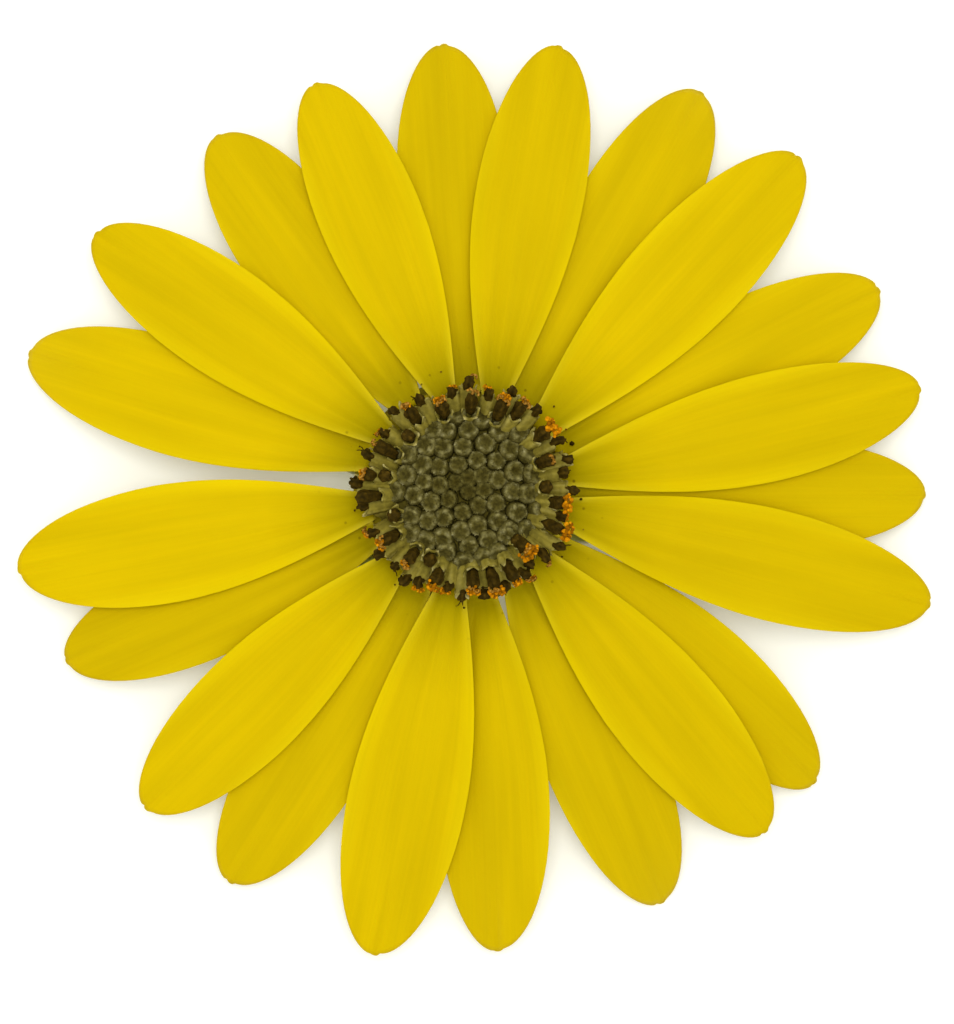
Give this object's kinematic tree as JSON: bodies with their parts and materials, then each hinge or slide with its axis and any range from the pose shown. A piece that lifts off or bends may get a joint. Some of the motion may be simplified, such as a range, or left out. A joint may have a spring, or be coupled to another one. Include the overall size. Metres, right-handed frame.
{
  "type": "picked osteospermum flower head",
  "caption": "Yellow daisy-like flower head with overlapping ray petals round a dark disc of small florets, on a short cut stem.",
  "frame": {"origin": "in the surface the flower head lies on, under the middle of its box", "axes": "+Z along the flower's axis, out of its face; +Y to the top of the picture, +X to its right"},
  "size_m": [0.0652, 0.065, 0.0101],
  "materials": {
    "ray_petal": "satin yellow petal with soft lengthwise grooves",
    "closed_florets": "matte grey-green bud skin",
    "open_florets": "matte olive tubes with dark brown anthers and orange pollen",
    "green_tissue": "matte green bracts and stem"
  },
  "bodies": {
    "root": {"involucre_and_stem": "green_tissue", "disc_buds": "closed_florets", "open_florets": "open_florets", "ray_01": "ray_petal", "ray_02": "ray_petal", "ray_03": "ray_petal", "ray_04": "ray_petal", "ray_05": "ray_petal", "ray_06": "ray_petal", "ray_07": "ray_petal", "ray_08": "ray_petal", "ray_09": "ray_petal", "ray_10": "ray_petal", "ray_11": "ray_petal", "ray_12": "ray_petal", "ray_13": "ray_petal", "ray_14": "ray_petal", "ray_15": "ray_petal", "ray_16": "ray_petal", "ray_17": "ray_petal", "ray_18": "ray_petal", "ray_19": "ray_petal", "ray_20": "ray_petal", "ray_21": "ray_petal"}
  },
  "joints": []
}
